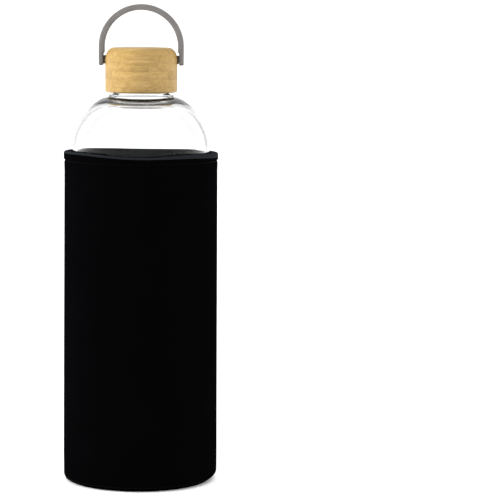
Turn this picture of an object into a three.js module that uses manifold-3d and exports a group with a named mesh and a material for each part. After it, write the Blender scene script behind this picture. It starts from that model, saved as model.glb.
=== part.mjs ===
// A one-litre glass water bottle with a screw-on bamboo cap, a swinging carry loop and a neoprene sleeve.
// Millimetres, +Z up. The origin is the centre of the sleeve's underside, where the bottle stands.
// The carry loop stands up in the XZ plane and the sleeve's side seam runs down the +Y side.
import * as THREE from "three";
import { mergeVertices } from "three/addons/utils/BufferGeometryUtils.js";
import Module from "manifold-3d";

// Glass bottle
const bodyRadius = 41.6; // outside of the straight wall
const bodyWall = 2.6;
const heelRadius = 12;
const straightHeight = 187.2; // straight wall, from the heel to the shoulder
const baseThickness = 10;
const floorCorner = 5; // round between the inner floor and the wall
const puntRadius = 26; // hollow in the underside, so that the bottle stands on a ring
const puntDepth = 1.8;
const shoulderHeight = 30.7;
const shoulderPower = 1.73; // 2 is an ellipse, and a little less slopes the shoulder
const shoulderLevel = 2.45; // from the neck out to where the shoulder's curve would be level
const neckRadius = 16.6;
const neckWall = 2.4;
const neckHeight = 12.7; // from the top of the shoulder to the rim
const throatRound = 5.5; // inside, between the neck's bore and the shoulder
const throatThickness = 4.1; // glass under the top of the shoulder
const beadProjection = 3.1; // the transfer bead at the foot of the neck
const beadHeight = 1.3;
const neckFillet = 0.6; // above the bead
const rimRound = 0.9;

// Screw thread, two starts
const threadStarts = 2;
const threadLead = 8; // rise in one turn
const threadTurns = 0.62; // of each start
const ridgeRadius = 1.15;
const ridgeSink = 0.1; // how far a ridge's centre line lies inside its wall
const ridgeTaper = 0.15; // share of a ridge's length in which its end rises from the wall
const threadClearance = 0.35; // crest to the facing wall
const threadRise = 3; // from the bead to the lowest ridge
const threadLift = 0.1; // the liner's ridges, above the middle of the neck's gaps

// Cap
const linerWall = 1.3;
const linerRoof = 1.6;
const bambooWall = 2.35;
const crownThickness = 13.4;
const crownDome = 0.4;
const crownRun = 5.1; // the rounded edge of the crown, inward
const crownDrop = 8; // and downward
const capFootRound = 1.4;
const capFootGap = 1.2; // bead to the foot of the bamboo
const linerRecess = 0.4; // the liner stops short of the bamboo's foot
const glueGap = 0.2; // liner to bamboo
const sealThickness = 1.6;
const sealOverlap = 0.7; // how far the seal reaches past the rim, inside and out
const sealGap = 0.2;

// Carry loop and its pivots
const strapThickness = 3.5;
const strapWidth = 8;
const strapEdge = 0.9; // rounding of its edges
const loopGap = 0.35; // cap's side to the inner face of the legs
const pivotDrop = 7.7; // pivots below the top of the cap
const legRise = 7.7; // pivots to the centre of the arch
const legTail = 3.5; // pivots to the end of the legs
const legRelief = 0.7; // the legs are thinner where they meet the bushes
const reliefHeight = 4.2; // relief above the pivots
const bushRadius = 2.6;
const bushSeat = 1.4; // how deep a bush sits in the bamboo
const screwRadius = 1.1;
const screwLength = 12;
const headRadius = 2.1;
const headHeight = 1.1;
const driveRadius = 0.9; // the head's hexagonal socket
const driveDepth = 0.6;
const pivotClearance = 0.15;

// Sleeve
const neoprene = 4;
const sleeveGap = 0.5; // sleeve to glass, below and all round
const sleeveDrop = 3.6; // the sleeve's rim is this far below the shoulder
const sleeveCorner = 6.5; // outside round of its lower edge
const rimEdge = 1.2; // rounding of its upper edge
const baseEdge = 0.6;
const seamTurn = 2; // the wall runs this far under the bottle before it meets the base
const seamGap = 0.3;
const stitchRadius = 0.35;
const stitchInset = 0.3; // centre of a stitch line below the surface
const stitchClearance = 0.15;
const hemDepth = 4.2; // the hem's stitch line below the rim
const baseStitchAngle = 35; // the base stitch line, in degrees below level round the lower edge
const sideSeamWidth = 5;
const sideSeamDepth = 0.55;
const sideSeamInset = 0.05; // the band's face below the sleeve's surface
const sideSeamFoot = 1; // above the round of the lower edge
const sideSeamEnd = 1.2; // below the hem's stitch line

// Facets
const roundSides = 40;
const smallSides = 16;
const arcSteps = 4;
const shoulderSteps = 8;
const ridgeSteps = 16;
const archSteps = 12;
const stitchSides = 6;

// Places worked out from the sizes above
const glassFoot = neoprene + sleeveGap;
const heelCentre = new THREE.Vector2(bodyRadius - heelRadius, glassFoot + heelRadius);
const shoulderFoot = heelCentre.y + straightHeight;
const shoulderTop = shoulderFoot + shoulderHeight;
const beadRadius = neckRadius + beadProjection;
const beadTop = shoulderTop + beadHeight;
const shoulderTopRadius = neckRadius + shoulderLevel;
const rim = shoulderTop + neckHeight;
const linerBore = neckRadius + ridgeRadius - ridgeSink + threadClearance;
const linerRadius = linerBore + linerWall;
const capBore = linerRadius + glueGap;
const capRadius = capBore + bambooWall;
const capFoot = beadTop + capFootGap;
const linerFoot = capFoot + linerRecess;
const linerCeiling = rim + sealGap + sealThickness + sealGap;
const capCeiling = linerCeiling + linerRoof + glueGap;
const capTop = capCeiling + crownThickness;
const pivotHeight = capTop - pivotDrop;
const legInner = capRadius + loopGap;
const legOuter = legInner + strapThickness;
const sleeveTop = shoulderFoot - sleeveDrop;
const sleeveInner = bodyRadius + sleeveGap;
const sleeveOuter = sleeveInner + neoprene;
const sleeveCornerCentre = new THREE.Vector2(sleeveOuter - sleeveCorner, sleeveCorner);
const seamRadius = sleeveCornerCentre.x - seamTurn;

const wasm = await Module();
wasm.setup();

// three.js geometry to a manifold-3d solid, and back
function solid(geometry) {
  const bare = geometry.index ? geometry.toNonIndexed() : geometry.clone();
  bare.deleteAttribute("normal");
  bare.deleteAttribute("uv");
  const merged = mergeVertices(bare, 1e-4);
  return new wasm.Manifold(
    new wasm.Mesh({
      numProp: 3,
      vertProperties: new Float32Array(merged.attributes.position.array),
      triVerts: new Uint32Array(merged.index.array),
    }),
  );
}

function geometryOf(manifold) {
  const mesh = manifold.getMesh();
  const geometry = new THREE.BufferGeometry();
  geometry.setAttribute("position", new THREE.BufferAttribute(mesh.vertProperties, 3));
  geometry.setIndex(new THREE.BufferAttribute(mesh.triVerts, 1));
  geometry.computeVertexNormals();
  return geometry;
}

// A profile of (radius, height) points turned about the Z axis
function turned(profile, sides = roundSides) {
  return new THREE.LatheGeometry(profile, sides).rotateX(Math.PI / 2);
}

const at = (radius, height) => new THREE.Vector2(radius, height);

// Points of an arc in a profile, ends included. Angles are in degrees, 0 outward and 90 up. An elliptical
// arc has another radius upward.
function arc(centre, radius, from, to, steps = arcSteps, radiusUp = radius) {
  const points = [];
  for (let i = 0; i <= steps; i++) {
    const angle = THREE.MathUtils.degToRad(from + ((to - from) * i) / steps);
    points.push(at(centre.x + radius * Math.cos(angle), centre.y + radiusUp * Math.sin(angle)));
  }
  return points;
}

// The shoulder's curve, from the straight wall up to its level top
function shoulder(innerRadius, outerRadius, foot, height, steps) {
  const points = [];
  for (let i = 0; i <= steps; i++) {
    const angle = (Math.PI / 2) * (i / steps);
    const out = Math.max(Math.cos(angle), 0) ** (2 / shoulderPower);
    const up = Math.sin(angle) ** (2 / shoulderPower);
    points.push(at(innerRadius + (outerRadius - innerRadius) * out, foot + height * up));
  }
  return points;
}

// A cylinder lying along X, from one x to another
function barAlongX(radius, from, to, height, sides = smallSides) {
  return new THREE.CylinderGeometry(radius, radius, Math.abs(to - from), sides)
    .rotateZ(Math.PI / 2)
    .translate((from + to) / 2, 0, height);
}

// A thread ridge's centre line, which dips into its wall at both ends
class Helix extends THREE.Curve {
  constructor(radius, dip, foot, turn) {
    super();
    Object.assign(this, { radius, dip, foot, turn });
  }
  getPoint(t, target = new THREE.Vector3()) {
    const angle = 2 * Math.PI * (this.turn + threadTurns * t);
    const ends = Math.max(0, 1 - Math.min(t, 1 - t) / ridgeTaper) ** 2;
    const radius = this.radius + this.dip * ends;
    const height = this.foot + threadLead * threadTurns * t;
    return target.set(radius * Math.cos(angle), radius * Math.sin(angle), height);
  }
}

function threadRidges(radius, dip, foot) {
  const section = new THREE.Shape().absarc(0, 0, ridgeRadius, 0, 2 * Math.PI);
  const ridges = [];
  for (let start = 0; start < threadStarts; start++) {
    const extrudePath = new Helix(radius, dip, foot, start / threadStarts);
    const options = { steps: ridgeSteps, curveSegments: arcSteps, extrudePath };
    ridges.push(solid(new THREE.ExtrudeGeometry(section, options)));
  }
  return ridges;
}

function glassBottle() {
  const innerHeel = at(bodyRadius - bodyWall - floorCorner, glassFoot + baseThickness + floorCorner);
  const boreRadius = neckRadius - neckWall;
  const innerTop = shoulderTop - throatThickness;
  const beadEnd = beadHeight / 2;
  const innerWall = bodyRadius - bodyWall;
  const throat = at(boreRadius + throatRound, innerTop + throatRound);
  const profile = [
    ...arc(at(0, glassFoot), puntRadius, 90, 0, 3, puntDepth),
    ...arc(heelCentre, heelRadius, -90, 0),
    ...shoulder(shoulderTopRadius, bodyRadius, shoulderFoot, shoulderHeight, shoulderSteps).slice(0, -1),
    ...arc(at(beadRadius - beadEnd, shoulderTop + beadEnd), beadEnd, -30, 90),
    at(neckRadius, beadTop + neckFillet),
    at(neckRadius, rim - rimRound),
    at(neckRadius - rimRound, rim),
    at(boreRadius + rimRound, rim),
    at(boreRadius, rim - rimRound),
    ...arc(throat, throatRound, 180, 270),
    ...shoulder(throat.x, innerWall, shoulderFoot, innerTop - shoulderFoot, shoulderSteps)
      .reverse()
      .slice(1),
    ...arc(innerHeel, floorCorner, 0, -90),
    at(0, glassFoot + baseThickness),
  ];
  const threadFoot = beadTop + threadRise + ridgeRadius;
  let bottle = solid(turned(profile));
  for (const ridge of threadRidges(neckRadius - ridgeSink, -ridgeRadius, threadFoot)) {
    bottle = bottle.add(ridge);
  }
  return geometryOf(bottle);
}

// A plastic cup glued into the bamboo. Its thread lies half a pitch below the neck's.
function capLiner() {
  const profile = [
    at(linerBore, linerFoot),
    at(linerRadius, linerFoot),
    at(linerRadius, linerCeiling + linerRoof),
    at(0, linerCeiling + linerRoof),
    at(0, linerCeiling),
    at(linerBore, linerCeiling),
    at(linerBore, linerFoot),
  ];
  const halfPitch = threadLead / threadStarts / 2;
  const threadFoot = beadTop + threadRise + ridgeRadius - halfPitch + threadLift;
  const endDip = ridgeRadius / 2; // a whole radius would come through the wall
  let liner = solid(turned(profile));
  const blank = [at(0, linerFoot), at(linerRadius, linerFoot), at(linerRadius, capTop), at(0, capTop)];
  const keep = solid(turned(blank));
  for (const ridge of threadRidges(linerBore + ridgeSink, endDip, threadFoot)) {
    liner = liner.add(ridge.intersect(keep));
  }
  return geometryOf(liner);
}

function sealRing() {
  const foot = rim + sealGap;
  const inner = neckRadius - neckWall - sealOverlap;
  const outer = neckRadius + sealOverlap;
  const top = foot + sealThickness;
  return turned([at(inner, foot), at(outer, foot), at(outer, top), at(inner, top), at(inner, foot)]);
}

function bambooCap() {
  const crownCentre = at(capRadius - crownRun, capTop - crownDome - crownDrop);
  const footCentre = at(capRadius - capFootRound, capFoot + capFootRound);
  const profile = [
    at(capBore, capFoot),
    ...arc(footCentre, capFootRound, -90, 0, 3),
    ...arc(crownCentre, crownRun, 0, 85, arcSteps + 1, crownDrop),
    at((capRadius - crownRun) / 2, capTop - crownDome / 4),
    at(0, capTop),
    at(0, capCeiling),
    at(capBore, capCeiling),
    at(capBore, capFoot),
  ];
  let cap = solid(turned(profile));
  for (const side of [-1, 1]) {
    const seat = side * (capRadius - bushSeat - pivotClearance);
    const tip = side * (legOuter - screwLength - pivotClearance);
    const bushHole = barAlongX(bushRadius + pivotClearance, seat, side * legOuter, pivotHeight);
    const screwHole = barAlongX(screwRadius + pivotClearance, tip, side * legOuter, pivotHeight);
    cap = cap.subtract(solid(bushHole)).subtract(solid(screwHole));
  }
  return geometryOf(cap);
}

// The loop's outline in the XZ plane, given depth along Y, with holes for the screws and their heads
function carryLoop() {
  const archCentre = pivotHeight + legRise;
  const tail = pivotHeight - legTail;
  const reliefTop = pivotHeight + reliefHeight;
  const edge = strapEdge;
  const outline = new THREE.Shape();
  outline.moveTo(legOuter - edge, tail + edge);
  outline.lineTo(legOuter - edge, archCentre);
  outline.absarc(0, archCentre, legOuter - edge, 0, Math.PI, false);
  outline.lineTo(-legOuter + edge, tail + edge);
  outline.lineTo(-legInner - legRelief - edge, tail + edge);
  outline.lineTo(-legInner - legRelief - edge, reliefTop - edge);
  outline.lineTo(-legInner - edge, reliefTop + legRelief);
  outline.lineTo(-legInner - edge, archCentre);
  outline.absarc(0, archCentre, legInner + edge, Math.PI, 0, true);
  outline.lineTo(legInner + edge, reliefTop + legRelief);
  outline.lineTo(legInner + legRelief + edge, reliefTop - edge);
  outline.lineTo(legInner + legRelief + edge, tail + edge);
  outline.closePath();
  const depth = strapWidth - 2 * edge;
  const bevel = { bevelSize: edge, bevelThickness: edge, bevelSegments: 2 };
  const body = new THREE.ExtrudeGeometry(outline, { depth, curveSegments: archSteps, ...bevel });
  body.translate(0, 0, -depth / 2).rotateX(Math.PI / 2);
  let loop = solid(body);
  for (const side of [-1, 1]) {
    const seat = side * (legOuter - headHeight - pivotClearance);
    const outside = side * (legOuter + 1);
    const hole = barAlongX(screwRadius + pivotClearance, side * legInner, outside, pivotHeight);
    const recess = barAlongX(headRadius + pivotClearance, seat, outside, pivotHeight);
    loop = loop.subtract(solid(hole)).subtract(solid(recess));
  }
  return geometryOf(loop);
}

// A bush between the bamboo and a leg, bored for the screw
function pivotBush(side) {
  const from = side * (capRadius - bushSeat);
  const to = side * (legInner + legRelief - pivotClearance);
  const bore = barAlongX(screwRadius + pivotClearance, from - side, to + side, pivotHeight);
  return geometryOf(solid(barAlongX(bushRadius, from, to, pivotHeight)).subtract(solid(bore)));
}

function pivotScrew(side) {
  const seat = side * (legOuter - headHeight);
  const face = side * legOuter;
  const tip = side * (legOuter - screwLength);
  const shank = barAlongX(screwRadius, tip, seat + side * driveDepth / 2, pivotHeight);
  const head = barAlongX(headRadius, seat, face, pivotHeight);
  const drive = barAlongX(driveRadius, side * (legOuter - driveDepth), face + side, pivotHeight, 6);
  return geometryOf(solid(shank).add(solid(head)).subtract(solid(drive)));
}

// The stitch lines round the sleeve, as (ring radius, height)
const hemLine = at(sleeveOuter - stitchInset, sleeveTop - hemDepth);
const baseLine = arc(sleeveCornerCentre, sleeveCorner - stitchInset, -baseStitchAngle, 0, 1)[0];

function stitchRing(line, radius) {
  return new THREE.TorusGeometry(line.x, radius, stitchSides, roundSides).translate(0, 0, line.y);
}

// The side seam's band, down the +Y side between the two stitch lines
function sideSeamBand(clearance) {
  const outer = sleeveOuter - sideSeamInset + 2 * clearance;
  const inner = sleeveOuter - sideSeamDepth - clearance;
  const half = (sideSeamWidth / 2 + clearance) / sleeveOuter;
  const foot = sleeveCornerCentre.y + sideSeamFoot - clearance;
  const top = hemLine.y - sideSeamEnd + clearance;
  const section = new THREE.Shape();
  section.absarc(0, 0, outer, Math.PI / 2 - half, Math.PI / 2 + half, false);
  section.absarc(0, 0, inner, Math.PI / 2 + half, Math.PI / 2 - half, true);
  section.closePath();
  const options = { depth: top - foot, bevelEnabled: false, curveSegments: 3 };
  return new THREE.ExtrudeGeometry(section, options).translate(0, 0, foot);
}

// A tube of neoprene that turns under the bottle
function sleeveWall() {
  const rimCentre = sleeveTop - rimEdge;
  const profile = [
    at(seamRadius, 0),
    ...arc(sleeveCornerCentre, sleeveCorner, -90, 0),
    ...arc(at(sleeveOuter - rimEdge, rimCentre), rimEdge, 0, 90, 3),
    ...arc(at(sleeveInner + rimEdge, rimCentre), rimEdge, 90, 180, 3),
    ...arc(sleeveCornerCentre, sleeveCorner - neoprene, 0, -90, 3),
    at(seamRadius, neoprene),
    at(seamRadius, 0),
  ];
  let wall = solid(turned(profile));
  for (const line of [hemLine, baseLine]) {
    wall = wall.subtract(solid(stitchRing(line, stitchRadius + stitchClearance)));
  }
  return geometryOf(wall.subtract(solid(sideSeamBand(stitchClearance))));
}

function sleeveBase() {
  const radius = seamRadius - seamGap;
  return turned([
    at(0, 0),
    at(radius - baseEdge, 0),
    at(radius, baseEdge),
    at(radius, neoprene),
    at(0, neoprene),
  ]);
}

function finish(color, roughness, metalness = 0) {
  return new THREE.MeshStandardMaterial({ color, roughness, metalness });
}

const glass = finish(0xf2f6f5, 0.03);
glass.transparent = true;
glass.opacity = 0.35;
const bamboo = finish(0xd9b26f, 0.5);
const whitePlastic = finish(0xeeeeea, 0.45);
const silicone = finish(0xe6e8e6, 0.6);
const greyPlastic = finish(0x85807e, 0.55);
const brownPlastic = finish(0x43301a, 0.5);
const steel = finish(0xc4c4c2, 0.3, 1);
const blackNeoprene = finish(0x0b0b0d, 0.9);
const blackThread = finish(0x121214, 0.8);

const bottle = new THREE.Group();

function add(name, geometry, material) {
  const mesh = new THREE.Mesh(geometry, material);
  mesh.name = name;
  bottle.add(mesh);
}

add("glass_bottle", glassBottle(), glass);
add("seal_ring", sealRing(), silicone);
add("cap_liner", capLiner(), whitePlastic);
add("bamboo_cap", bambooCap(), bamboo);
add("carry_loop", carryLoop(), greyPlastic);
for (const [label, side] of [["left", -1], ["right", 1]]) {
  add(`pivot_bush_${label}`, pivotBush(side), brownPlastic);
  add(`pivot_screw_${label}`, pivotScrew(side), steel);
}
add("sleeve_wall", sleeveWall(), blackNeoprene);
add("sleeve_base", sleeveBase(), blackNeoprene);
add("hem_stitching", stitchRing(hemLine, stitchRadius), blackThread);
add("base_stitching", stitchRing(baseLine, stitchRadius), blackThread);
add("side_seam_stitching", sideSeamBand(0), blackThread);

export default bottle;
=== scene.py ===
"""The looks of a glass water bottle with a bamboo cap, a carry loop and a neoprene sleeve.

Metres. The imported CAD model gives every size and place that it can; the fine pieces are built round it.
"""
import math

import bmesh
import bpy
import numpy as np
from mathutils import Matrix, Vector

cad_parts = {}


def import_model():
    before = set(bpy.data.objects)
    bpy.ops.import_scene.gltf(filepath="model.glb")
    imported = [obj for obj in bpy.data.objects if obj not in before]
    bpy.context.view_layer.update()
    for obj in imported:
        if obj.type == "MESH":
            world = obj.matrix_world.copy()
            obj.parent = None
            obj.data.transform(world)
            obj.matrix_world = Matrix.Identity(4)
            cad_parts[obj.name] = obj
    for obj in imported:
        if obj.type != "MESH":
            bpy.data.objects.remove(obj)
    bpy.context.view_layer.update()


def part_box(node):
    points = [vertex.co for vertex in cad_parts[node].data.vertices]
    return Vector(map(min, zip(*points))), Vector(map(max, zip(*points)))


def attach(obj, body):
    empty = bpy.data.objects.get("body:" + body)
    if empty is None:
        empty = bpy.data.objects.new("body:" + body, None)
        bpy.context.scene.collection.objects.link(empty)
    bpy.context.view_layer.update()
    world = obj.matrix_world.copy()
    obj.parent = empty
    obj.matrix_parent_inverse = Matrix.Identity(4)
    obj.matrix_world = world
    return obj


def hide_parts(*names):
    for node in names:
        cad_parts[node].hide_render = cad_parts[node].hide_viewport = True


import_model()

MM = 0.001
TURN = 2 * math.pi

# ---------------------------------------------------------------- sizes read from the frame

def span(node):
    """Outer radius, lowest and highest point of a round upright node."""
    low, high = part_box(node)
    return high.x, low.z, high.z


GLASS_R, GLASS_FOOT, RIM = span("glass_bottle")
SLEEVE_R, _, SLEEVE_TOP = span("sleeve_wall")
BASE_R, _, NEOPRENE = span("sleeve_base")
CAP_R, CAP_FOOT, CAP_TOP = span("bamboo_cap")
LINER_R, LINER_FOOT, LINER_TOP = span("cap_liner")
SEAL_R, SEAL_FOOT, SEAL_TOP = span("seal_ring")
LOOP_LOW, LOOP_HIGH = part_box("carry_loop")
BUSH_LOW, BUSH_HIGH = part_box("pivot_bush_right")
SCREW_LOW, SCREW_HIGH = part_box("pivot_screw_right")
SEAM_LOW, SEAM_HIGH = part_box("side_seam_stitching")
HEM_Z = (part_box("hem_stitching")[0].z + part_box("hem_stitching")[1].z) / 2
PIVOT_Z = (BUSH_LOW.z + BUSH_HIGH.z) / 2

# ---------------------------------------------------------------- sizes that the frame can't give

# Glass
WALL = 2.6 * MM
HEEL = 12 * MM
BASE_THICKNESS = 10 * MM
FLOOR_CORNER = 6 * MM
PUNT_R = 26 * MM
PUNT_DEPTH = 1.8 * MM
SHOULDER_POWER = 1.73
SHOULDER_LEVEL = 2.45 * MM  # from the neck out to where the shoulder's curve would be level
SHOULDER_FOOT = SLEEVE_TOP + 3.6 * MM
NECK_HEIGHT = 12.7 * MM
NECK_R = 16.6 * MM
NECK_WALL = 2.4 * MM
BEAD = 3.1 * MM
BEAD_HEIGHT = 1.3 * MM
THROAT_ROUND = 5.5 * MM
THROAT_THICKNESS = 4.1 * MM
NECK_FILLET = 1.3 * MM
RIM_ROUND = 1.1 * MM
FOOT_RING = 0.9 * MM
FLOOR_DOME = 1.1 * MM
SHOULDER_TOP = RIM - NECK_HEIGHT

# Screw thread
THREAD_STARTS = 2
THREAD_LEAD = 8 * MM
THREAD_TURNS = 0.62
RIDGE = 1.15 * MM
RIDGE_HEIGHT = 1.02 * MM
THREAD_RISE = 3.0 * MM
THREAD_FOOT = SHOULDER_TOP + BEAD_HEIGHT + THREAD_RISE + RIDGE

# Cap
LINER_WALL = 1.3 * MM
LINER_ROOF = 1.6 * MM
GLUE_GAP = 0.2 * MM
BAMBOO_BORE = LINER_R + GLUE_GAP
CROWN_RUN = 5.1 * MM
CROWN_DROP = 8 * MM
CROWN_DOME = 0.4 * MM
CAP_FOOT_ROUND = 1.4 * MM
LAYER = 4.9 * MM
LAYER_START = 1.7 * MM  # how much of the lowest layer was turned away
TOP_LAYER = 4  # the layers above this one are all one block
STRIP = 19 * MM  # width of the strips that a layer is glued from
NODES_PER_METRE = 9.0

# Carry loop
STRAP = 3.5 * MM
STRAP_EDGE = 0.9 * MM
RELIEF = 0.7 * MM
RELIEF_HEIGHT = 3.6 * MM
RELIEF_RAMP = 0.9 * MM
TIP_LENGTH = 2.4 * MM  # how far up from its end a leg narrows to a rounded tip
TIP_NARROWING = 2.2 * MM
TIP_ROUND = 0.8 * MM
TIP_THINNING = 0.55 * MM
SCREW_R = 1.1 * MM
HEAD_R = 2.1 * MM
HEAD_HEIGHT = 1.1 * MM
RUNNING_GAP = 0.15 * MM
HEAD_SEAT_GAP = 0.25 * MM
LEG_HOLE_GAP = 0.2 * MM
BEYOND = 1 * MM  # how far a cutter reaches past the surface that it cuts
SCREW_PITCH = 0.9 * MM
SOCKET_R = 1.0 * MM
SOCKET_DEPTH = 0.7 * MM

# Sleeve
SLEEVE_CORNER = 5.6 * MM
SLUMP = 1.4 * MM  # how much squarer the lower corner is at the left, and rounder at the right
SLEEVE_BORE = SLEEVE_R - NEOPRENE
SLEEVE_EASE = 0.1 * MM
FOOT_SPREAD = 0.65 * MM  # how much wider the sleeve is at its foot than below its rim
HEM_FLARE = 0.55 * MM
HEM_STEP = 0.8 * MM  # the hem flares out over this height above its stitches
HEM_BELOW = 2.5 * MM  # the finely divided band reaches this far below the hem's stitches
LIP = 0.7 * MM
RIM_SIDES = 1.1 * MM
RIM_TILT = 0.3 * MM
RIM_FRONT = 0.8 * MM
RIM_WRAP = 2.6 * MM
GROOVE = 0.4 * MM
PUFF = 0.15 * MM
SEAM_HALF = 2.4 * MM
SEAM_DEPTH = 0.35 * MM
SEAM_EDGE = 0.4 * MM
RIPPLE = 0.07 * MM
BASE_LINE = math.radians(-35)  # where the base stitches sit on the lower corner
BASE_DIP = 0.45 * MM
STITCH_R = 0.28 * MM
STITCH_PITCH = 3.0 * MM
STITCH_SINK = 0.42 * MM  # centre of a stitch line below the surface round it
BASE_STITCH_SINK = 0.35 * MM
SIDE_ROW = 2.1 * MM  # from the side seam's middle to its straight rows
SIDE_PITCH = 2.8 * MM
WALE = 0.9 * MM
COURSE = 0.75 * MM

FINE = 192  # facets round a turned piece
SMOOTH_ANGLE = 35  # degrees; a sharper edge stays sharp


# ---------------------------------------------------------------- mesh helpers

def new_object(name, vertices, faces, materials, smooth_angle=SMOOTH_ANGLE):
    mesh = bpy.data.meshes.new(name)
    mesh.from_pydata([tuple(v) for v in vertices], [], [tuple(f) for f in faces])
    mesh.validate()
    obj = bpy.data.objects.new(name, mesh)
    bpy.context.scene.collection.objects.link(obj)
    for material in materials:
        mesh.materials.append(material)
    mesh.shade_smooth()
    mesh.set_sharp_from_angle(angle=math.radians(smooth_angle))
    return obj


def arc(radius_at, height_at, radius, start, end, steps=10, radius_up=None):
    """Points of an arc in a profile, ends included, in degrees: 0 outward and 90 up."""
    radius_up = radius_up or radius
    angles = np.radians(np.linspace(start, end, steps + 1))
    return [(radius_at + radius * math.cos(a), height_at + radius_up * math.sin(a)) for a in angles]


def superellipse(inner, outer, foot, height, power, steps):
    """From the wall at the foot to the level top, like a shoulder."""
    points = []
    for a in np.linspace(0, math.pi / 2, steps + 1):
        out = max(math.cos(a), 0.0) ** (2 / power)
        points.append((inner + (outer - inner) * out, foot + height * math.sin(a) ** (2 / power)))
    return points


def line(start, end, steps):
    """Points between two profile points, without either end."""
    return [tuple(np.array(start) + (np.array(end) - np.array(start)) * i / steps) for i in range(1, steps)]


def turned(
    name, profile, materials, sides=FINE, shape=None, closed=False, material_of=None,
    smooth_angle=SMOOTH_ANGLE,
):
    """A profile turned about Z. It starts and ends on the axis, or is closed. shape moves a point by its
    place: shape(radius, height, angle, row) gives the new radius and height."""
    rows = []
    vertices = []
    faces = []
    for row, (radius, height) in enumerate(profile):
        if radius < 1e-7:
            rows.append([len(vertices)] * sides)
            vertices.append((0, 0, height))
            continue
        ring = []
        for side in range(sides):
            angle = TURN * side / sides
            r, z = shape(radius, height, angle, row) if shape else (radius, height)
            ring.append(len(vertices))
            vertices.append((r * math.cos(angle), r * math.sin(angle), z))
        rows.append(ring)
    pairs = list(zip(rows, rows[1:])) + ([(rows[-1], rows[0])] if closed else [])
    slots = []
    for index, (a, b) in enumerate(pairs):
        for side in range(sides):
            following = (side + 1) % sides
            face = [a[side], a[following], b[following], b[side]]
            face = [v for i, v in enumerate(face) if v != face[i - 1]]
            if len(face) > 2:
                faces.append(face)
                slots.append(material_of(index) if material_of else 0)
    obj = new_object(name, vertices, faces, materials, smooth_angle)
    obj.data.polygons.foreach_set("material_index", slots)
    return obj


def along_x(obj, height):
    """Turns a piece built about Z so that its axis lies along +X at that height."""
    obj.data.transform(Matrix.Translation((0, 0, height)) @ Matrix.Rotation(math.pi / 2, 4, "Y"))
    return obj


def rod_along_x(radius, start, end, height, sides=48):
    profile = [(0, start), (radius, start), (radius, end), (0, end)]
    return along_x(turned("cutter", profile, [], sides), height)


def cut(obj, cutters):
    """Cuts the cutters out of a piece and removes them."""
    for cutter in cutters:
        modifier = obj.modifiers.new("cut", "BOOLEAN")
        modifier.operation = "DIFFERENCE"
        modifier.solver = "EXACT"
        modifier.object = cutter
    bpy.context.view_layer.update()
    made = bpy.data.meshes.new_from_object(obj.evaluated_get(bpy.context.evaluated_depsgraph_get()))
    obj.modifiers.clear()
    obj.data = made
    made.shade_smooth()
    made.set_sharp_from_angle(angle=math.radians(SMOOTH_ANGLE))
    for cutter in cutters:
        bpy.data.objects.remove(cutter)


def flip_if_inside_out(obj):
    mesh = bmesh.new()
    mesh.from_mesh(obj.data)
    if mesh.calc_volume(signed=True) < 0:
        bmesh.ops.reverse_faces(mesh, faces=mesh.faces)
        mesh.to_mesh(obj.data)
    mesh.free()


def mirror_x(obj):
    obj.data.transform(Matrix.Scale(-1, 4, (1, 0, 0)))
    obj.data.flip_normals()


def joined(name, pieces, materials):
    """One object from several (vertices, faces) pairs."""
    vertices = []
    faces = []
    for points, polygons in pieces:
        start = len(vertices)
        vertices.extend(points)
        faces.extend([[i + start for i in polygon] for polygon in polygons])
    return new_object(name, vertices, faces, materials, 60)


def tube(points, radius, sides=8):
    """A closed tube along points, rounded to a smaller end section, as (vertices, faces)."""
    points = [Vector(p) for p in points]
    vertices = []
    faces = []
    count = len(points)
    for i, point in enumerate(points):
        ahead = points[min(i + 1, count - 1)] - points[max(i - 1, 0)]
        outward = Vector((point.x, point.y, 0))
        across = ahead.cross(outward).normalized()
        up = across.cross(ahead).normalized()
        size = radius * (0.45 if i in (0, count - 1) else 1.0)
        for side in range(sides):
            a = TURN * side / sides
            vertices.append(point + across * size * math.cos(a) + up * size * math.sin(a))
    for i in range(count - 1):
        for side in range(sides):
            a = i * sides + side
            b = i * sides + (side + 1) % sides
            faces.append([a, b, b + sides, a + sides])
    faces.append(list(range(sides))[::-1])
    faces.append([(count - 1) * sides + s for s in range(sides)])
    return vertices, faces


# ---------------------------------------------------------------- material helpers

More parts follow.
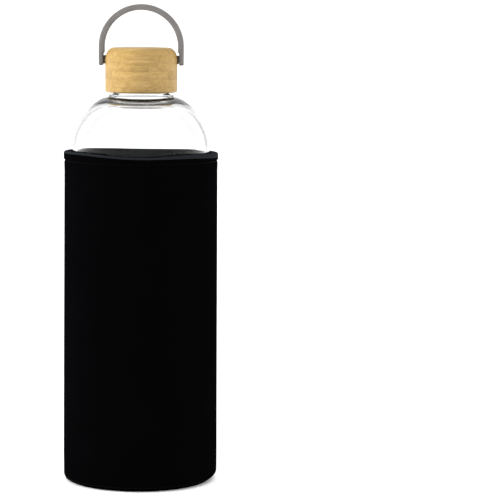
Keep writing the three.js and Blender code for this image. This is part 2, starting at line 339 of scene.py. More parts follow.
class Nodes:
    """Short calls for building a material's node tree."""

    def __init__(self, name):
        self.material = bpy.data.materials.new(name)
        self.material.use_nodes = True
        self.tree = self.material.node_tree
        self.shader = self.tree.nodes["Principled BSDF"]

    def add(self, kind, **settings):
        node = self.tree.nodes.new(kind)
        for key, value in settings.items():
            if key in node.inputs and not hasattr(node, key):
                node.inputs[key].default_value = value
            else:
                setattr(node, key, value)
        return node

    def link(self, source, target):
        self.tree.links.new(source, target)

    def value(self, socket, source):
        if isinstance(source, (int, float)):
            socket.default_value = source
        else:
            self.link(source, socket)

    def math(self, operation, a, b=0.0, c=0.0):
        node = self.add("ShaderNodeMath", operation=operation)
        for socket, source in zip(node.inputs, (a, b, c)):
            self.value(socket, source)
        return node.outputs[0]

    def position(self):
        return self.add("ShaderNodeTexCoord").outputs["Object"]

    def parts(self, vector):
        node = self.add("ShaderNodeSeparateXYZ")
        self.link(vector, node.inputs[0])
        return node.outputs

    def vector(self, x, y, z):
        node = self.add("ShaderNodeCombineXYZ")
        for socket, source in zip(node.inputs, (x, y, z)):
            self.value(socket, source)
        return node.outputs[0]

    def noise(self, vector, scale, detail, roughness=0.55):
        node = self.add("ShaderNodeTexNoise")
        self.link(vector, node.inputs["Vector"])
        node.inputs["Scale"].default_value = scale
        node.inputs["Detail"].default_value = detail
        node.inputs["Roughness"].default_value = roughness
        return node.outputs["Fac"]

    def ramp(self, factor, stops):
        node = self.add("ShaderNodeValToRGB")
        self.link(factor, node.inputs[0])
        elements = node.color_ramp.elements
        while len(elements) < len(stops):
            elements.new(0.5)
        for element, (place, colour) in zip(elements, stops):
            element.position = place
            element.color = (*colour, 1)
        return node.outputs[0]

    def mix(self, factor, a, b, blend="MIX"):
        node = self.add("ShaderNodeMix", data_type="RGBA", blend_type=blend)
        self.value(node.inputs[0], factor)
        for socket, source in ((node.inputs[6], a), (node.inputs[7], b)):
            if isinstance(source, tuple):
                socket.default_value = (*source, 1)
            else:
                self.link(source, socket)
        return node.outputs[2]

    def range(self, factor, low, high, to_low, to_high):
        node = self.add("ShaderNodeMapRange")
        self.value(node.inputs[0], factor)
        for socket, number in zip(node.inputs[1:5], (low, high, to_low, to_high)):
            socket.default_value = number
        return node.outputs[0]

    def bump(self, height, strength, distance):
        node = self.add("ShaderNodeBump")
        node.inputs["Strength"].default_value = strength
        node.inputs["Distance"].default_value = distance
        self.link(height, node.inputs["Height"])
        return node.outputs[0]

    def set(self, **inputs):
        for key, value in inputs.items():
            socket = self.shader.inputs[key.replace("_", " ")]
            if isinstance(value, (int, float)):
                socket.default_value = value
            elif isinstance(value, tuple):
                socket.default_value = (*value, 1) if len(value) == 3 and socket.type == "RGBA" else value
            else:
                self.link(value, socket)


# ---------------------------------------------------------------- materials

def glass_material():
    n = Nodes("clear_glass")
    faint = n.noise(n.position(), 60, 2)
    n.set(
        Base_Color=(0.995, 0.998, 0.997),
        Roughness=0.0,
        IOR=1.5,
        Transmission_Weight=1.0,
        Specular_Tint=(0.2, 0.2, 0.2),
        Normal=n.bump(faint, 0.04, 0.0004),
    )
    absorption = n.add("ShaderNodeVolumeAbsorption", Color=(0.5, 0.5, 0.5, 1), Density=36.0)
    n.link(absorption.outputs[0], n.tree.nodes["Material Output"].inputs["Volume"])
    return n.material


def bamboo_material():
    """Laminated bamboo: level layers with their own shade, fibres along X, dark nodes and glue lines."""
    n = Nodes("laminated_bamboo")
    x, y, z = n.parts(n.position())
    level = n.math("DIVIDE", n.math("SUBTRACT", z, CAP_FOOT - LAYER_START), LAYER)
    wobble = n.math("MULTIPLY", n.math("SUBTRACT", n.noise(n.vector(x, y, 0.0), 45, 1), 0.5), 0.08)
    level = n.math("MINIMUM", n.math("ADD", level, wobble), TOP_LAYER + 0.5)
    layer = n.math("FLOOR", level)
    inside = n.math("FRACT", level)

    # each layer is made of strips side by side along Y, each with its own shade
    strip = n.math("FLOOR", n.math("ADD", n.math("DIVIDE", y, STRIP), n.math("MULTIPLY", layer, 0.37)))
    shade = n.add("ShaderNodeTexWhiteNoise", noise_dimensions="2D")
    n.link(n.vector(layer, strip, 0.0), shade.inputs["Vector"])

    # fibres: noise drawn out along X, bent where a node crosses
    shift = n.math("MULTIPLY", shade.outputs["Value"], 0.31)
    node_count = n.math("ADD", n.math("MULTIPLY", x, NODES_PER_METRE), shift)
    node_x = n.math("SUBTRACT", n.math("FRACT", node_count), 0.5)
    near_node = n.range(n.math("ABSOLUTE", node_x), 0.02, 0.09, 1.0, 0.0)
    bend = n.math("MULTIPLY", n.noise(n.vector(x, y, z), 320, 2), n.math("MULTIPLY", near_node, 0.0016))
    fibre_place = n.vector(n.math("MULTIPLY", x, 0.035), y, n.math("ADD", z, bend))
    fine = n.noise(fibre_place, 2600, 3, 0.6)
    coarse = n.noise(fibre_place, 620, 2, 0.5)

    cloud = n.noise(n.vector(x, y, z), 42, 2)
    tone = n.math("MULTIPLY_ADD", shade.outputs["Value"], 0.16, n.math("MULTIPLY", coarse, 0.50))
    tone = n.math("MULTIPLY_ADD", cloud, 0.34, tone)
    base = n.ramp(tone, [
        (0.22, (0.185, 0.111, 0.024)),
        (0.52, (0.30, 0.190, 0.055)),
        (0.85, (0.45, 0.308, 0.118)),
    ])
    streak = n.ramp(fine, [(0.36, (0.70, 0.62, 0.50)), (0.52, (1.0, 1.0, 1.0)), (0.75, (1.06, 1.04, 1.0))])
    colour = n.mix(0.6, base, streak, "MULTIPLY")

    # the lower edge of each layer is darker, and a thin glue line parts the layers
    depth = n.ramp(inside, [(0.0, (0.90, 0.87, 0.82)), (0.3, (1.0, 1.0, 1.0)), (1.0, (1.03, 1.03, 1.0))])
    colour = n.mix(0.8, colour, depth, "MULTIPLY")
    edge = n.math("MINIMUM", inside, n.math("SUBTRACT", 1.0, inside))
    glue = n.range(edge, 0.015, 0.05, 1.0, 0.0)
    colour = n.mix(n.math("MULTIPLY", glue, 0.38), colour, (0.24, 0.13, 0.035))
    knot = n.math("MULTIPLY", near_node, n.range(n.noise(fibre_place, 900, 2), 0.4, 0.65, 0.0, 0.5))
    colour = n.mix(knot, colour, (0.30, 0.165, 0.045))

    height = n.math("SUBTRACT", n.math("MULTIPLY", fine, 0.6), n.math("MULTIPLY", glue, 0.8))
    n.set(
        Base_Color=colour,
        Roughness=n.range(fine, 0.3, 0.7, 0.52, 0.40),
        Specular_IOR_Level=0.4,
        Coat_Weight=0.12,
        Coat_Roughness=0.35,
        Normal=n.bump(height, 0.35, 0.00012),
    )
    return n.material


def moulded_plastic(name, colour, roughness, grain, subsurface=0.0, lift=0.12):
    """A moulded plastic with a fine grain and slight changes of shade."""
    n = Nodes(name)
    place = n.position()
    cloud = n.noise(place, 90, 3)
    fine = n.noise(place, grain, 2, 0.6)
    darker = tuple(c * (1 - lift) for c in colour)
    lighter = tuple(min(1.0, c * (1 + lift)) for c in colour)
    n.set(
        Base_Color=n.ramp(cloud, [(0.3, darker), (0.7, lighter)]),
        Roughness=n.range(fine, 0.3, 0.7, roughness - 0.05, roughness + 0.07),
        Normal=n.bump(fine, 0.25, 0.00008),
    )
    if subsurface:
        n.set(Subsurface_Weight=subsurface, Subsurface_Scale=0.002, Subsurface_Radius=(1.0, 0.95, 0.9))
    return n.material


def steel_material():
    n = Nodes("brushed_steel")
    x, y, z = n.parts(n.position())
    brushed = n.noise(n.vector(n.math("MULTIPLY", x, 0.2), y, z), 4000, 2)
    n.set(
        Base_Color=n.ramp(brushed, [(0.3, (0.50, 0.50, 0.49)), (0.7, (0.66, 0.66, 0.65))]),
        Metallic=1.0,
        Roughness=n.range(brushed, 0.3, 0.7, 0.24, 0.38),
        Normal=n.bump(brushed, 0.2, 0.00005),
    )
    return n.material


def knit_height(n, x, y, z):
    """A jersey knit's height round the bottle: columns of V-shaped loops."""
    round_it = n.math("MULTIPLY", n.math("ARCTAN2", y, x), SLEEVE_R)
    across = n.math("DIVIDE", round_it, WALE)
    fold = n.math("ABSOLUTE", n.math("SUBTRACT", n.math("FRACT", across), 0.5))
    slant = n.math("ADD", n.math("DIVIDE", z, COURSE), n.math("MULTIPLY", fold, 1.6))
    loops = n.math("ABSOLUTE", n.math("SINE", n.math("MULTIPLY", slant, math.pi)))
    ribs = n.math("SINE", n.math("MULTIPLY", fold, TURN))
    return n.math("MULTIPLY", n.math("POWER", loops, 0.6), n.math("MULTIPLY_ADD", ribs, 0.5, 0.5))


def knit_material(name, dark, light, sheen):
    """The nylon jersey that faces the neoprene foam."""
    n = Nodes(name)
    place = n.position()
    x, y, z = n.parts(place)
    knit = knit_height(n, x, y, z)
    cloud = n.noise(place, 35, 3)
    fuzz = n.noise(place, 3000, 2)
    tone = n.math("ADD", n.math("MULTIPLY", knit, 0.6), n.math("MULTIPLY", cloud, 0.4))
    height = n.math("ADD", knit, n.math("MULTIPLY", fuzz, 0.25))
    n.set(
        Base_Color=n.ramp(tone, [(0.15, dark), (0.8, light)]),
        Roughness=n.range(knit, 0.0, 1.0, 0.92, 0.74),
        Specular_IOR_Level=0.0,
        Sheen_Weight=sheen,
        Sheen_Roughness=0.45,
        Sheen_Tint=(0.7, 0.75, 0.85),
        Normal=n.bump(height, 0.6, 0.00022),
    )
    return n.material


def thread_material():
    n = Nodes("black_thread")
    x, y, z = n.parts(n.position())
    round_it = n.math("MULTIPLY", n.math("ARCTAN2", y, x), SLEEVE_R)
    twist = n.math("SINE", n.math("MULTIPLY", n.math("ADD", round_it, z), TURN / (0.45 * MM)))
    strands = n.range(twist, -1, 1, 0, 1)
    n.set(
        Base_Color=n.ramp(strands, [(0.0, (0.0006, 0.0006, 0.0007)), (1.0, (0.003, 0.003, 0.0034))]),
        Roughness=0.7,
        Specular_IOR_Level=0.04,
        Normal=n.bump(twist, 0.4, 0.0001),
    )
    return n.material


GLASS = glass_material()
BAMBOO = bamboo_material()
GREY = moulded_plastic("grey_moulded_plastic", (0.112, 0.105, 0.102), 0.48, 2600)
# The pivot bushes' dark brown is painted shade: it is as dark as the shaded gap between each leg of the
# loop and the cap.
PAINTED_SHADE_BROWN = moulded_plastic("painted_shade_dark_brown", (0.055, 0.030, 0.013), 0.42, 2600)
WHITE = moulded_plastic(
    "natural_polypropylene", (0.86, 0.86, 0.84), 0.36, 1800, subsurface=0.35, lift=0.02
)
SILICONE = moulded_plastic(
    "translucent_silicone", (0.84, 0.86, 0.85), 0.50, 1500, subsurface=0.5, lift=0.02
)
STEEL = steel_material()
KNIT = knit_material("black_nylon_jersey", (0.0003, 0.0003, 0.0004), (0.0012, 0.0012, 0.0014), 0.002)
LINING = knit_material(
    "charcoal_nylon_lining", (0.006, 0.0066, 0.0075), (0.013, 0.0145, 0.0165), 0.02
)
THREAD = thread_material()


# ---------------------------------------------------------------- threads

def ridge_height(angle, height, foot):
    """How far a thread ridge stands at a point: a rounded hill along each start's helix."""
    best = 0.0
    for start in range(THREAD_STARTS):
        turn = (angle / TURN - start / THREAD_STARTS) % 1.0
        if turn > THREAD_TURNS:
            continue
        away = abs(height - (foot + THREAD_LEAD * turn)) / RIDGE
        if away >= 1:
            continue
        ends = min(1.0, min(turn, THREAD_TURNS - turn) / 0.07)
        hill = min(1.0, 1.15 * math.sqrt(1 - away ** 2))
        best = max(best, hill * math.sin(ends * math.pi / 2) ** 2)
    return RIDGE_HEIGHT * best


# ---------------------------------------------------------------- glass bottle

def glass_bottle():
    bore = NECK_R - NECK_WALL
    bead_round = BEAD_HEIGHT / 2
    bead_r = NECK_R + BEAD
    bead_top = SHOULDER_TOP + BEAD_HEIGHT
    heel_r = GLASS_R - HEEL
    heel_z = GLASS_FOOT + HEEL
    floor = GLASS_FOOT + BASE_THICKNESS
    inner_r = GLASS_R - WALL
    inner_top = SHOULDER_TOP - THROAT_THICKNESS
    throat_r = bore + THROAT_ROUND

    outer = []
    for t in np.linspace(0, 0.96, 12):
        outer.append((PUNT_R * t, GLASS_FOOT + PUNT_DEPTH * math.cos(t * math.pi / 2) ** 1.2))
    outer += arc(PUNT_R + 1.5 * MM, GLASS_FOOT + FOOT_RING, FOOT_RING, 250, 270, 3)
    outer += arc(heel_r, heel_z, HEEL, -90, 0, 16)
    outer += line((GLASS_R, heel_z), (GLASS_R, SHOULDER_FOOT), 24)
    level_r = NECK_R + SHOULDER_LEVEL
    curve = superellipse(level_r, GLASS_R, SHOULDER_FOOT, SHOULDER_TOP - SHOULDER_FOOT, SHOULDER_POWER, 60)
    outer += [point for point in curve if point[0] > bead_r + 0.3 * MM]
    outer += arc(bead_r - bead_round, SHOULDER_TOP + bead_round, bead_round, -20, 90, 12)
    outer += arc(NECK_R + NECK_FILLET, bead_top + NECK_FILLET, NECK_FILLET, 265, 180, 6)
    first = len(outer)
    outer += line((NECK_R, bead_top + NECK_FILLET + 0.1 * MM), (NECK_R, RIM - RIM_ROUND), 52)
    last = len(outer)
    outer += arc(NECK_R - RIM_ROUND, RIM - RIM_ROUND, RIM_ROUND, 0, 90, 8)

    inner = arc(bore + RIM_ROUND, RIM - RIM_ROUND, RIM_ROUND, 90, 180, 8)
    inner += line((bore, RIM - RIM_ROUND), (bore, inner_top + THROAT_ROUND), 10)
    inner += arc(throat_r, inner_top + THROAT_ROUND, THROAT_ROUND, 180, 268, 10)
    curve = superellipse(throat_r, inner_r, SHOULDER_FOOT, inner_top - SHOULDER_FOOT, SHOULDER_POWER, 40)
    inner += curve[-2::-1]
    inner += line((inner_r, SHOULDER_FOOT), (inner_r, floor + FLOOR_CORNER), 24)
    inner += arc(inner_r - FLOOR_CORNER, floor + FLOOR_CORNER, FLOOR_CORNER, 0, -88, 12)
    for r in np.linspace(inner_r * 0.8, 0, 12):
        inner.append((r, floor + FLOOR_DOME * math.cos(r / inner_r * math.pi / 2) ** 2))

    def shape(radius, height, angle, row):
        if first <= row < last:
            radius += ridge_height(angle, height, THREAD_FOOT)
        return radius, height

    obj = turned("glass_bottle_fine", outer + inner, [GLASS], shape=shape, smooth_angle=60)
    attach(obj, "bottle")
    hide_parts("glass_bottle")


# ---------------------------------------------------------------- cap

def bamboo_cap():
    ceiling = LINER_TOP + GLUE_GAP
    foot_in = 0.5 * MM
    profile = [(BAMBOO_BORE + foot_in, CAP_FOOT)]
    profile += arc(CAP_R - CAP_FOOT_ROUND, CAP_FOOT + CAP_FOOT_ROUND, CAP_FOOT_ROUND, -90, 0, 10)
    crown_z = CAP_TOP - CROWN_DOME - CROWN_DROP
    profile += line((CAP_R, CAP_FOOT + CAP_FOOT_ROUND), (CAP_R, crown_z), 16)
    profile += arc(CAP_R - CROWN_RUN, crown_z, CROWN_RUN, 0, 86, 24, CROWN_DROP)
    edge_r, edge_z = profile[-1]
    for t in np.linspace(0.92, 0, 14):
        profile.append((edge_r * t, edge_z + (CAP_TOP - edge_z) * (1 - t ** 2)))
    profile += [(BAMBOO_BORE * t, ceiling) for t in np.linspace(0, 1, 6)]
    profile += line((BAMBOO_BORE, ceiling), (BAMBOO_BORE, CAP_FOOT + foot_in), 10)
    profile += [(BAMBOO_BORE, CAP_FOOT + foot_in)]
    obj = turned("bamboo_cap_fine", profile, [BAMBOO], closed=True)
    seat = BUSH_LOW.x - RUNNING_GAP
    tip = SCREW_LOW.x - RUNNING_GAP
    bush_r = (BUSH_HIGH.z - BUSH_LOW.z) / 2 + RUNNING_GAP
    beyond = CAP_R + 2 * BEYOND
    cutters = []
    for side in (-1, 1):
        cutters.append(rod_along_x(bush_r, side * seat, side * beyond, PIVOT_Z))
        cutters.append(rod_along_x(SCREW_R + RUNNING_GAP, side * tip, side * beyond, PIVOT_Z, 32))
    cut(obj, cutters)
    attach(obj, "cap")
    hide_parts("bamboo_cap")


def cap_liner():
    """A white cup with an inside thread and a shallow ring in its roof."""
    bore = LINER_R - LINER_WALL
    ceiling = LINER_TOP - LINER_ROOF
    edge = 0.35 * MM
    top_round = 0.8 * MM
    ring_z = ceiling - 0.25 * MM
    corner = 0.5 * MM
    inside = [(0, ceiling), (bore * 0.45, ceiling), (bore * 0.5, ring_z)]
    inside += [(bore * 0.56, ring_z), (bore * 0.6, ceiling), (bore - corner, ceiling)]
    inside += [(bore, ceiling - corner)]
    first = len(inside)
    threads = line((bore, ceiling - 0.6 * MM), (bore, LINER_FOOT + edge), 44)
    inside += threads + [(bore + edge * 0.3, LINER_FOOT + edge * 0.3)]
    outer = [(0, LINER_TOP), (LINER_R * 0.5, LINER_TOP)]
    outer += arc(LINER_R - top_round, LINER_TOP - top_round, top_round, 90, 0, 5)
    outer += line((LINER_R, LINER_TOP - top_round), (LINER_R, LINER_FOOT + edge), 6)
    outer += arc(LINER_R - edge, LINER_FOOT + edge, edge, 0, -180, 6)[:-1]
    foot = THREAD_FOOT - THREAD_LEAD / THREAD_STARTS / 2 + 0.1 * MM

    def shape(radius, height, angle, row):
        if first <= row < first + len(threads):
            radius -= ridge_height(angle, height, foot)
        return radius, height

    obj = turned("cap_liner_fine", inside + outer[::-1], [WHITE], shape=shape, smooth_angle=50)
    flip_if_inside_out(obj)
    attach(obj, "cap")
    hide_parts("cap_liner")


def seal_ring():
    inner = NECK_R - NECK_WALL - 0.7 * MM
    middle = (inner + SEAL_R) / 2
    edge = 0.35 * MM
    groove, depth = 0.5 * MM, 0.25 * MM
    profile = arc(SEAL_R - edge, SEAL_FOOT + edge, edge, -90, 0, 5)
    profile += arc(SEAL_R - edge, SEAL_TOP - edge, edge, 0, 90, 5)
    profile += arc(inner + edge, SEAL_TOP - edge, edge, 90, 180, 5)
    profile += arc(inner + edge, SEAL_FOOT + edge, edge, 180, 270, 5)
    profile += [(middle - groove, SEAL_FOOT), (middle, SEAL_FOOT + depth), (middle + groove, SEAL_FOOT)]
    obj = turned("seal_ring_fine", profile, [SILICONE], closed=True, smooth_angle=60)
    flip_if_inside_out(obj)
    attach(obj, "seal")
    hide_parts("seal_ring")


# ---------------------------------------------------------------- carry loop and pivots

def strap_path():
    """The outer face's path from one leg's end to the other's, as (point, outward direction, height).
    The arch is given a height far above the legs, because nothing there changes with it."""
    outer = LOOP_HIGH.x
    centre = LOOP_HIGH.z - outer
    tail = LOOP_LOW.z
    edge = 1.0 * MM
    above_relief = PIVOT_Z + RELIEF_HEIGHT + 1.6 * MM
    heights = [tail + edge * (1 - math.cos(a)) for a in np.linspace(0, math.pi / 2, 6)]
    heights += list(np.linspace(tail + edge, above_relief, 18))[1:]
    heights += list(np.linspace(above_relief, centre, 5))[1:-1]
    rows = []
    for z in heights:
        rows.append((Vector((outer, 0, z)), Vector((1, 0, 0)), z))
    for a in np.linspace(0, math.pi, 121):
        out = Vector((math.cos(a), 0, math.sin(a)))
        rows.append((Vector((0, 0, centre)) + outer * out, out, centre + 1))
    for z in heights[::-1]:
        rows.append((Vector((-outer, 0, z)), Vector((-1, 0, 0)), z))
    return rows


def strap_section(width, thickness, edge, steps=5):
    """A rounded rectangle as (in from the outer face, across) points."""
    half = width / 2 - edge
    deep = thickness - edge
    points = []
    for depth, across, start in ((edge, half, 180), (deep, half, 90), (deep, -half, 0), (edge, -half, -90)):
        for a in np.radians(np.linspace(start, start - 90, steps + 1)):
            points.append((depth + edge * math.cos(a), across + edge * math.sin(a)))
    return points


def carry_loop():
    width = LOOP_HIGH.y - LOOP_LOW.y
    tail = LOOP_LOW.z
    relief_top = PIVOT_Z + RELIEF_HEIGHT
    rows = strap_path()
    vertices = []
    faces = []

    def cut_back(height, length):
        """1 at the very end of a leg, falling like a quarter circle to 0 at that length from it."""
        near_end = max(0.0, 1 - (height - tail) / length)
        return 1 - math.sqrt(max(0.0, 1 - near_end ** 2))

    for point, out, z in rows:
        blend = min(1.0, max(0.0, (relief_top + RELIEF_RAMP - z) / RELIEF_RAMP))
        blend = blend * blend * (3 - 2 * blend)
        half_width = width / 2 - TIP_NARROWING * cut_back(z, TIP_LENGTH)
        end_in = TIP_THINNING * cut_back(z, TIP_ROUND)
        thickness = STRAP - RELIEF * blend - 2 * end_in
        for depth, across in strap_section(2 * half_width, thickness, min(STRAP_EDGE, thickness * 0.45)):
            vertices.append(point - out * (depth + end_in) + Vector((0, across, 0)))
    sides = len(vertices) // len(rows)
    for i in range(len(rows) - 1):
        for side in range(sides):
            a = i * sides + side
            b = i * sides + (side + 1) % sides
            faces.append([a, a + sides, b + sides, b])
    faces.append(list(range(sides)))
    faces.append([(len(rows) - 1) * sides + s for s in range(sides)][::-1])
    obj = new_object("carry_loop_fine", vertices, faces, [GREY])
    flip_if_inside_out(obj)
    beyond = LOOP_HIGH.x + BEYOND
    seat = LOOP_HIGH.x - HEAD_HEIGHT - RUNNING_GAP
    cutters = []
    for side in (-1, 1):
        cutters.append(rod_along_x(HEAD_R + HEAD_SEAT_GAP, side * seat, side * beyond, PIVOT_Z))
        cutters.append(rod_along_x(SCREW_R + LEG_HOLE_GAP, side * CAP_R, side * beyond, PIVOT_Z, 32))
    cut(obj, cutters)
    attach(obj, "loop")
    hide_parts("carry_loop")


def pivot_bush(label):
    radius = (BUSH_HIGH.z - BUSH_LOW.z) / 2
    bore = SCREW_R + RUNNING_GAP
    low, high = BUSH_LOW.x, BUSH_HIGH.x
    edge = 0.25 * MM
    profile = [(bore, low), (radius - edge, low), (radius, low + edge)]
    profile += [(radius, CAP_R - 0.1 * MM), (radius, CAP_R + 0.2 * MM)]
    profile += arc(radius - edge, high - edge, edge, 0, 90, 4) + [(bore + edge, high), (bore, high - edge)]
    # The bush's dark brown is painted shade, taken from the shaded gap between the leg and the cap.
    obj = along_x(turned(f"pivot_bush_{label}_fine", profile, [PAINTED_SHADE_BROWN], 64, closed=True), PIVOT_Z)
    flip_if_inside_out(obj)
    if label == "left":
        mirror_x(obj)
    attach(obj, "cap")
    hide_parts(f"pivot_bush_{label}")


def pivot_screw(label):
    """A pan-headed wood screw with a hexagon socket."""
    low, high = SCREW_LOW.x, SCREW_HIGH.x
    under_head = high - HEAD_HEIGHT
    core = SCREW_R * 0.74
    shank = SCREW_R * 0.92
    head_round = 0.45 * MM
    thread_end = low + 7.5 * MM
    threads = line((core, low + 0.8 * MM), (core, thread_end), 56)
    profile = [(0, low), (core * 0.45, low + 0.35 * MM)]
    first = len(profile)
    profile += threads
    profile += [(shank, thread_end + 0.4 * MM), (shank, under_head), (HEAD_R - 0.1 * MM, under_head)]
    profile += arc(HEAD_R - head_round, high - head_round, head_round, 0, 90, 5) + [(0, high)]

    def shape(radius, height, angle, row):
        if first <= row < first + len(threads):
            phase = ((height / SCREW_PITCH - angle / TURN) % 1.0) - 0.5
            taper = min(1.0, (height - low) / (1.6 * MM), (thread_end - height) / (0.8 * MM))
            radius += (SCREW_R - core) * max(0.0, 1 - abs(phase) / 0.3) * max(0.0, taper)
        return radius, height

    obj = along_x(turned(f"pivot_screw_{label}_fine", profile, [STEEL], 48, shape=shape), PIVOT_Z)
    flip_if_inside_out(obj)
    cut(obj, [rod_along_x(SOCKET_R, high - SOCKET_DEPTH, high + BEYOND, PIVOT_Z, 6)])
    if label == "left":
        mirror_x(obj)
    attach(obj, "cap")
    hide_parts(f"pivot_screw_{label}")


# ---------------------------------------------------------------- sleeve

def seam_channel(angle):
    """0 away from the side seam, which is at +Y, and 1 on it."""
    away = abs((angle - math.pi / 2 + math.pi) % TURN - math.pi) * SLEEVE_R
    return max(0.0, min(1.0, (SEAM_HALF + SEAM_EDGE - away) / SEAM_EDGE))


def ripple(angle, height):
    """The slight unevenness of sewn foam rubber, in metres, never inward."""
    wave = math.sin(2 * angle + 0.7)
    wave += 0.6 * math.sin(3 * angle + 2.1 + 18 * height)
    wave += 0.4 * math.sin(5 * angle - 31 * height)
    return RIPPLE * (wave + 2)


def outside(height):
    """The sleeve's outer radius at a height: a little wider towards its foot, and at the hemmed rim."""
    hem = min(1.0, max(0.0, (height - HEM_Z) / HEM_STEP))
    return SLEEVE_R + SLEEVE_EASE + FOOT_SPREAD * (1 - height / SLEEVE_TOP) + HEM_FLARE * hem


def slump(angle, turn):
    """How far the lower corner is pushed out at a point of its curve, where turn goes from a quarter
    turn below level, beneath the bottle, to level at the wall."""
    return -SLUMP * math.cos(angle) * math.sin(2 * turn) * math.sin(turn)


def rim_lift(angle):
    """The rim isn't quite level: it stands a little higher at both sides, most at the left, and towards
    the two front corners."""
    front = RIM_FRONT * math.sin(2 * angle) ** 2 if math.sin(angle) < 0 else 0
    return RIM_SIDES * (1 - math.sin(angle) ** 4) - RIM_TILT * (1 + math.cos(angle)) + front


def rim_wrap(angle):
    """How far the lining comes over the rim and down the outside, more at the right."""
    return RIM_WRAP * ((1 + math.cos(angle + 0.2)) / 2) ** 5


def sleeve_wall():
    """A neoprene tube: a hemmed rim, a stitched groove below it, and a rounded sewn lower edge."""
    corner_z = SLEEVE_CORNER
    corner_r = outside(corner_z) - SLEEVE_CORNER
    seam_r = BASE_R + 0.3 * MM
    below_hem = HEM_Z - HEM_BELOW
    hem_end = SLEEVE_TOP - 0.8 * MM
    lip_z = SLEEVE_TOP - LIP
    outer = [(seam_r, 0.9 * MM), (seam_r + 0.5 * MM, 0.15 * MM)]
    outer += arc(corner_r, corner_z, SLEEVE_CORNER, -90, 0, 22)[1:]
    outer += line((outside(corner_z), corner_z), (outside(below_hem), below_hem), 44)
    outer += [(outside(z), z) for z in np.linspace(below_hem, hem_end, 35)]
    rim = arc(outside(SLEEVE_TOP) - LIP, lip_z, LIP, 8, 86, 8)
    rim += arc(SLEEVE_BORE + LIP, lip_z, LIP, 94, 172, 8)
    inner = line((SLEEVE_BORE, lip_z), (SLEEVE_BORE, corner_z), 60)
    inner_corner = SLEEVE_CORNER - NEOPRENE
    inner += arc(SLEEVE_BORE - inner_corner, corner_z, inner_corner, 0, -90, 8)
    inner += [(seam_r + 0.5 * MM, NEOPRENE), (seam_r, NEOPRENE - 0.5 * MM)]
    outer_rows = len(outer)

    def shape(radius, height, angle, row):
        if height > HEM_Z:
            share = (height - HEM_Z) / (SLEEVE_TOP - HEM_Z)
            if row < outer_rows:
                height -= rim_wrap(angle) * share ** 2
            height += rim_lift(angle) * share
        if 2 < row < outer_rows:
            from_hem = height - HEM_Z
            groove = GROOVE * math.exp(-(from_hem / (0.5 * MM)) ** 2)
            puff = PUFF * math.exp(-((from_hem + 1.9 * MM) / (1.1 * MM)) ** 2)
            seam = seam_channel(angle) * (SEAM_DEPTH if SEAM_LOW.z < height < SEAM_HIGH.z else 0)
            radius += puff - groove - seam
            if height > corner_z:
                share = min(1.0, (height - corner_z) / (10 * MM))
                radius += ripple(angle, height) * share * (1 if from_hem < 0 else 0.5)
            else:
                turn = math.atan2(height - corner_z, radius - corner_r)
                radius += slump(angle, turn)
                from_line = (turn - BASE_LINE) * SLEEVE_CORNER
                dip = BASE_DIP * math.exp(-(from_line / (0.55 * MM)) ** 2)
                radius -= dip * math.cos(turn)
                height -= dip * math.sin(turn)
        return radius, height

    obj = turned(
        "sleeve_wall_fine", outer + rim + inner, [KNIT, LINING], sides=256, shape=shape, closed=True,
        material_of=lambda row: int(row >= outer_rows - 1), smooth_angle=70,
    )
    flip_if_inside_out(obj)
    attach(obj, "sleeve")
    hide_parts("sleeve_wall")


def sleeve_base():
    """The sewn-in base: a flat disc with a rounded edge."""
    edge = 0.9 * MM
    profile = [(0, 0)] + [(BASE_R * t, 0) for t in np.linspace(0.1, 0.9, 9)]
    profile += arc(BASE_R - edge, edge, edge, -90, 0, 6)
    rows_below = len(profile)
    profile += arc(BASE_R - edge, NEOPRENE - edge, edge, 0, 90, 6)
    profile += [(BASE_R * t, NEOPRENE) for t in np.linspace(0.9, 0.1, 9)] + [(0, NEOPRENE)]
    obj = turned(
        "sleeve_base_fine", profile, [KNIT, LINING],
        material_of=lambda row: int(row >= rows_below), smooth_angle=60,
    )
    flip_if_inside_out(obj)
    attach(obj, "sleeve")
    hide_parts("sleeve_base")


def ring_stitches(name, node, radius, height, outward=(1, 0), shift=lambda angle: 0.0):
    """Lock stitches round a ring: each a short thread that dips into the cloth at both ends."""
    count = round(TURN * radius / STITCH_PITCH)
    half = 0.42  # of the way from one stitch to the next
    pieces = []
    for i in range(count):
        middle = TURN * i / count
        points = []
        for t in np.linspace(-half, half, 7):
            angle = middle + TURN / count * t
            rise = 0.22 * MM * math.cos(t / half * math.pi / 2) - 0.12 * MM
            r = radius + rise * outward[0] + shift(angle)
            z = height + rise * outward[1] + 0.12 * MM * t
            points.append((r * math.cos(angle), r * math.sin(angle), z))
        pieces.append(tube(points, STITCH_R))
    obj = joined(name, pieces, [THREAD])
    flip_if_inside_out(obj)
    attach(obj, "sleeve")
    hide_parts(node)


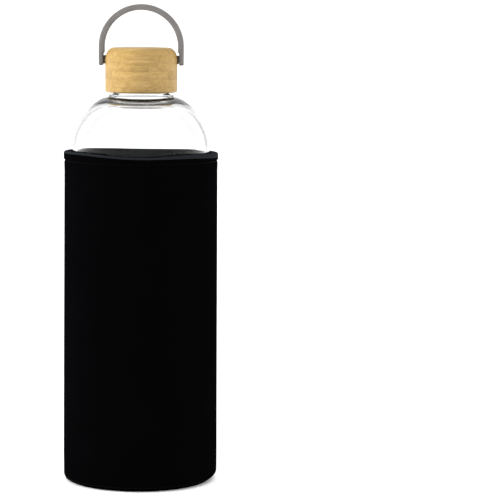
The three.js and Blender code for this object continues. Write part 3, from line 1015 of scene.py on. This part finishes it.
def side_seam_stitching():
    """A flat-lock seam: two rows of straight stitches and a zigzag of looper thread between them."""
    foot, top = SEAM_LOW.z + 0.5 * MM, SEAM_HIGH.z - 0.5 * MM
    half = 0.43  # of the way from one stitch to the next

    def place(across, height, lift):
        angle = math.pi / 2 + across / SLEEVE_R
        r = outside(height) - STITCH_SINK + lift + ripple(angle, height)
        return r * math.cos(angle), r * math.sin(angle), height

    pieces = []
    for i in range(int((top - foot) / SIDE_PITCH)):
        z = foot + SIDE_PITCH * (i + 0.5)
        for across in (-SIDE_ROW, SIDE_ROW):
            points = []
            for t in np.linspace(-half, half, 6):
                lift = 0.2 * MM * math.cos(t / half * math.pi / 2)
                points.append(place(across, z + SIDE_PITCH * t, lift))
            pieces.append(tube(points, STITCH_R))
        for start, shift in ((-SIDE_ROW, -0.5), (SIDE_ROW, 0.0)):
            points = []
            for t in np.linspace(0, 1, 7):
                across = 0.96 * start * (1 - 2 * t)
                lift = 0.1 * MM + 0.12 * MM * math.sin(t * math.pi)
                points.append(place(across, z + SIDE_PITCH * (shift + 0.5 * t), lift))
            pieces.append(tube(points, STITCH_R * 0.75, 6))
    obj = joined("side_seam_stitching_fine", pieces, [THREAD])
    flip_if_inside_out(obj)
    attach(obj, "sleeve")
    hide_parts("side_seam_stitching")


# ---------------------------------------------------------------- stage, light and camera

WORLD_STRENGTH = 1.2
SENSOR = 36
CAMERA_REACH = 2378.7 / 500  # focal length over the picture's longer side
CAMERA_PLACE = (63.2 * MM, -1.442, 0.2954)
CAMERA_PITCH = 6.1  # degrees below level
CAMERA_ROLL = 0.42

def stage_plane(name, corners, material):
    mesh = bpy.data.meshes.new(name)
    mesh.from_pydata(corners, [], [(0, 1, 2, 3)])
    mesh.materials.append(material)
    obj = bpy.data.objects.new(name, mesh)
    bpy.context.scene.collection.objects.link(obj)
    return obj


def studio_floor():
    n = Nodes("pale_floor")
    speckle = n.noise(n.position(), 40, 2)
    n.set(
        Base_Color=n.ramp(speckle, [(0.0, (0.90, 0.90, 0.90)), (1.0, (0.92, 0.92, 0.92))]),
        Roughness=0.9,
        Specular_IOR_Level=0.1,
    )
    far = 14.0
    corners = [(-far, -far, 0), (far, -far, 0), (far, far, 0), (-far, far, 0)]
    stage_plane("floor", corners, n.material)


def flag(name, side):
    """A grey card behind the bottle and to one side that gives the clear glass its edges. Its grey fades
    to white towards its sides, its top and the floor."""
    near, far = side * 0.35, side * 0.8
    behind, height = 1.0, 1.2
    n = Nodes(name)
    x, _, z = n.parts(n.position())
    from_middle = n.math("ABSOLUTE", n.math("SUBTRACT", x, (near + far) / 2))
    ends = n.math("MAXIMUM", n.range(z, 0.0, 0.2, 1.0, 0.0), n.range(z, 0.9, height, 0.0, 1.0))
    white = n.math("MAXIMUM", n.range(from_middle, 0.12, 0.22, 0.0, 1.0), ends)
    n.set(
        Base_Color=n.ramp(white, [(0.0, (0.36, 0.36, 0.36)), (1.0, (0.9, 0.9, 0.9))]),
        Roughness=0.9,
        Specular_IOR_Level=0.0,
    )
    corners = [(near, behind, 0), (far, behind, 0), (far, behind, height), (near, behind, height)]
    card = stage_plane(name, corners, n.material)
    card.visible_camera = False
    card.visible_diffuse = False
    card.visible_shadow = False


def softbox(name, place, target, size, power):
    light = bpy.data.lights.new(name, "AREA")
    light.shape = "RECTANGLE"
    light.size, light.size_y = size
    light.energy = power
    obj = bpy.data.objects.new(name, light)
    obj.location = place
    obj.rotation_euler = (Vector(target) - Vector(place)).to_track_quat("-Z", "Y").to_euler()
    bpy.context.scene.collection.objects.link(obj)
    return obj


def soft_sun(name, toward, strength, angle):
    """A distant soft light that falls evenly on the whole floor."""
    light = bpy.data.lights.new(name, "SUN")
    light.energy = strength
    light.angle = math.radians(angle)
    obj = bpy.data.objects.new(name, light)
    obj.rotation_euler = Vector(toward).to_track_quat("-Z", "Y").to_euler()
    bpy.context.scene.collection.objects.link(obj)
    return obj


def world():
    """An even white studio."""
    sky = bpy.data.worlds.new("studio")
    sky.use_nodes = True
    background = sky.node_tree.nodes["Background"]
    background.inputs[0].default_value = (1, 1, 1, 1)
    background.inputs[1].default_value = WORLD_STRENGTH
    bpy.context.scene.world = sky


def camera():
    data = bpy.data.cameras.new("camera")
    data.sensor_width = SENSOR
    data.lens = SENSOR * CAMERA_REACH
    obj = bpy.data.objects.new("camera", data)
    obj.location = CAMERA_PLACE
    tilt = Matrix.Rotation(math.radians(90 - CAMERA_PITCH), 4, "X")
    roll = Matrix.Rotation(math.radians(CAMERA_ROLL), 4, "Z")
    obj.rotation_euler = (tilt @ roll).to_euler()
    bpy.context.scene.collection.objects.link(obj)
    bpy.context.scene.camera = obj


camera()
world()
studio_floor()
flag("left_flag", -1)
flag("right_flag", 1)
AIM = (0, 0, 0.24)
for light in (
    softbox("key", (-1.25, -0.25, 0.5), AIM, (0.45, 0.8), 25),
    softbox("rim", (1.25, -0.1, 0.5), AIM, (0.35, 0.8), 8),
    soft_sun("overhead", (-0.1, -0.2, -1), 1.4, 70),
):
    light.visible_transmission = False
    light.visible_glossy = False
bpy.context.scene.view_settings.view_transform = "Standard"

glass_bottle()
bamboo_cap()
cap_liner()
seal_ring()
carry_loop()
for label in ("left", "right"):
    pivot_bush(label)
    pivot_screw(label)
sleeve_wall()
sleeve_base()
ring_stitches("hem_stitching_fine", "hem_stitching", outside(HEM_Z) - STITCH_SINK, HEM_Z)
line_out, line_up = math.cos(BASE_LINE), math.sin(BASE_LINE)
stitch_round = SLEEVE_CORNER - BASE_STITCH_SINK
ring_stitches(
    "base_stitching_fine", "base_stitching",
    outside(SLEEVE_CORNER) - SLEEVE_CORNER + stitch_round * line_out,
    SLEEVE_CORNER + stitch_round * line_up,
    outward=(line_out, line_up), shift=lambda angle: slump(angle, BASE_LINE),
)
side_seam_stitching()

bpy.context.view_layer.update()
